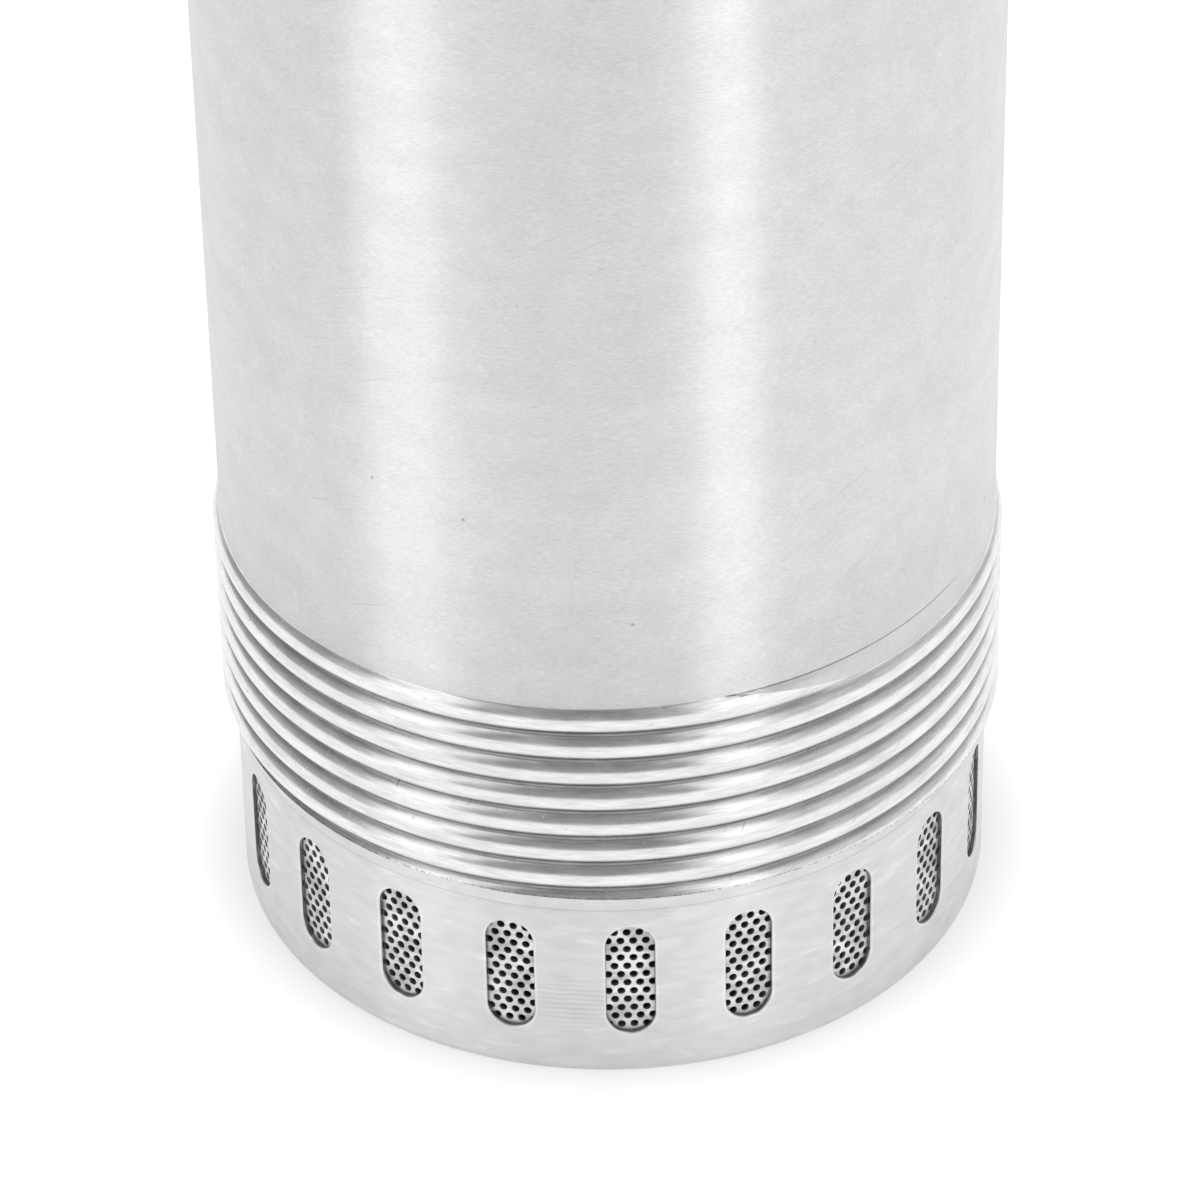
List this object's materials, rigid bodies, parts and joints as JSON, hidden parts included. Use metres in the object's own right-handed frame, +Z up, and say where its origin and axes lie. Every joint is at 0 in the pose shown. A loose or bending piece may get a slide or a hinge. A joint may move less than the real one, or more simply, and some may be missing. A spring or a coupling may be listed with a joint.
{
  "type": "borehole submersible pump",
  "caption": "Tall round stainless submersible pump with a slotted strainer foot, screwed sleeve, multistage impellers, sealed motor and a threaded top outlet with a check valve.",
  "frame": {"origin": "on the pump's axis at the underside of the strainer foot", "axes": "+Z up along the shaft to the outlet, -Y towards the viewer of the picture, cable gland on +Y, lifting lugs on +X and -X"},
  "size_m": [0.1274, 0.1274, 0.5173],
  "materials": {
    "brushed_stainless": "fine circumferential brushing",
    "pressed_stainless": "satin, drawn and wiped",
    "perforated_stainless": "perforated sheet",
    "cast_stainless": "fine blasted casting",
    "ground_stainless": "ground and turned",
    "spring_steel": "drawn wire",
    "bearing_steel": "polished",
    "lamination_steel": "stacked sheets, varnished",
    "grey_casting": "machined casting",
    "end_ring_alloy": "die cast",
    "enamelled_copper": "varnished wire",
    "bearing_bronze": "turned",
    "moulded_polymer": "moulded, glass filled",
    "dark_polymer": "moulded, glass filled",
    "seal_ceramic": "lapped ceramic",
    "seal_carbon": "lapped carbon",
    "black_rubber": "moulded"
  },
  "bodies": {
    "foot": {"strainer_foot": "pressed_stainless"},
    "screen": {"strainer_screen": "perforated_stainless"},
    "pump": {"outer_sleeve": "brushed_stainless", "discharge_head": "cast_stainless", "suction_cover": "dark_polymer", "stage_bowl_1": "dark_polymer", "stage_bowl_2": "dark_polymer", "stage_bowl_3": "dark_polymer", "stage_bowl_4": "dark_polymer", "delivery_cover": "dark_polymer", "valve_guide": "dark_polymer", "diffuser_1": "dark_polymer", "diffuser_2": "dark_polymer", "diffuser_3": "dark_polymer", "diffuser_4": "dark_polymer", "suction_o_ring": "black_rubber", "casing_o_rings": "black_rubber", "head_o_ring": "black_rubber", "gland_grommet": "black_rubber", "guide_bush": "bearing_bronze", "wear_rings": "bearing_bronze", "carrier_screws": "ground_stainless", "motor_casing": "ground_stainless", "motor_cap": "ground_stainless", "cable_conduit": "ground_stainless", "valve_seat": "ground_stainless", "gland_body": "ground_stainless", "gland_nut": "ground_stainless", "seal_carrier": "grey_casting", "lower_bearing_housing": "grey_casting", "upper_bearing_bracket": "grey_casting", "lower_seal_seat": "seal_ceramic", "upper_seal_seat": "seal_ceramic", "wave_spring": "spring_steel", "valve_spring": "spring_steel", "lower_bearing_outer": "bearing_steel", "upper_bearing_outer": "bearing_steel", "stator_core": "lamination_steel", "stator_windings": "enamelled_copper"},
    "rotor": {"pump_shaft": "ground_stainless", "impeller_1": "moulded_polymer", "impeller_2": "moulded_polymer", "impeller_3": "moulded_polymer", "impeller_4": "moulded_polymer", "impeller_spacers": "ground_stainless", "impeller_nut": "ground_stainless", "impeller_washer": "ground_stainless", "impeller_key": "ground_stainless", "lower_seal_ring": "seal_carbon", "seal_spring": "spring_steel", "upper_seal_ring": "seal_carbon", "lower_bearing_inner": "bearing_steel", "rotor_core": "lamination_steel", "rotor_end_rings": "end_ring_alloy", "upper_bearing_inner": "bearing_steel"},
    "lower_balls": {"lower_bearing_balls": "bearing_steel"},
    "upper_balls": {"upper_bearing_balls": "bearing_steel"},
    "valve": {"valve_poppet": "ground_stainless", "valve_seal": "black_rubber"}
  },
  "joints": [
    {"name": "foot_unscrew", "type": "hinge", "parent": "foot", "child": "screen", "pos_m": [0, 0, 0.0185], "axis": [0, 0, 1], "range_deg": [0, 2610]},
    {"name": "pump_rise", "type": "slide", "parent": "screen", "child": "pump", "axis": [0, 0, 1], "range_m": [0, 0.0367]},
    {"name": "rotor_spin", "type": "hinge", "parent": "pump", "child": "rotor", "pos_m": [0, 0, 0.25], "axis": [0, 0, 1], "continuous": true},
    {"name": "lower_cage_spin", "type": "hinge", "parent": "pump", "child": "lower_balls", "pos_m": [0, 0, 0.2455], "axis": [0, 0, 1], "continuous": true},
    {"name": "upper_cage_spin", "type": "hinge", "parent": "pump", "child": "upper_balls", "pos_m": [0, 0, 0.41], "axis": [0, 0, 1], "continuous": true},
    {"name": "valve_lift", "type": "slide", "parent": "pump", "child": "valve", "axis": [0, 0, 1], "range_m": [0, 0.008], "stiffness_N_per_m": 250, "springref_m": -0.01, "deforming": ["valve_spring"]}
  ],
  "couplings": [
    {"joint": "pump_rise", "follows": "foot_unscrew", "m_per_rad": 0.00080373},
    {"joint": "lower_cage_spin", "follows": "rotor_spin", "ratio": 0.39691},
    {"joint": "upper_cage_spin", "follows": "rotor_spin", "ratio": 0.38137}
  ]
}
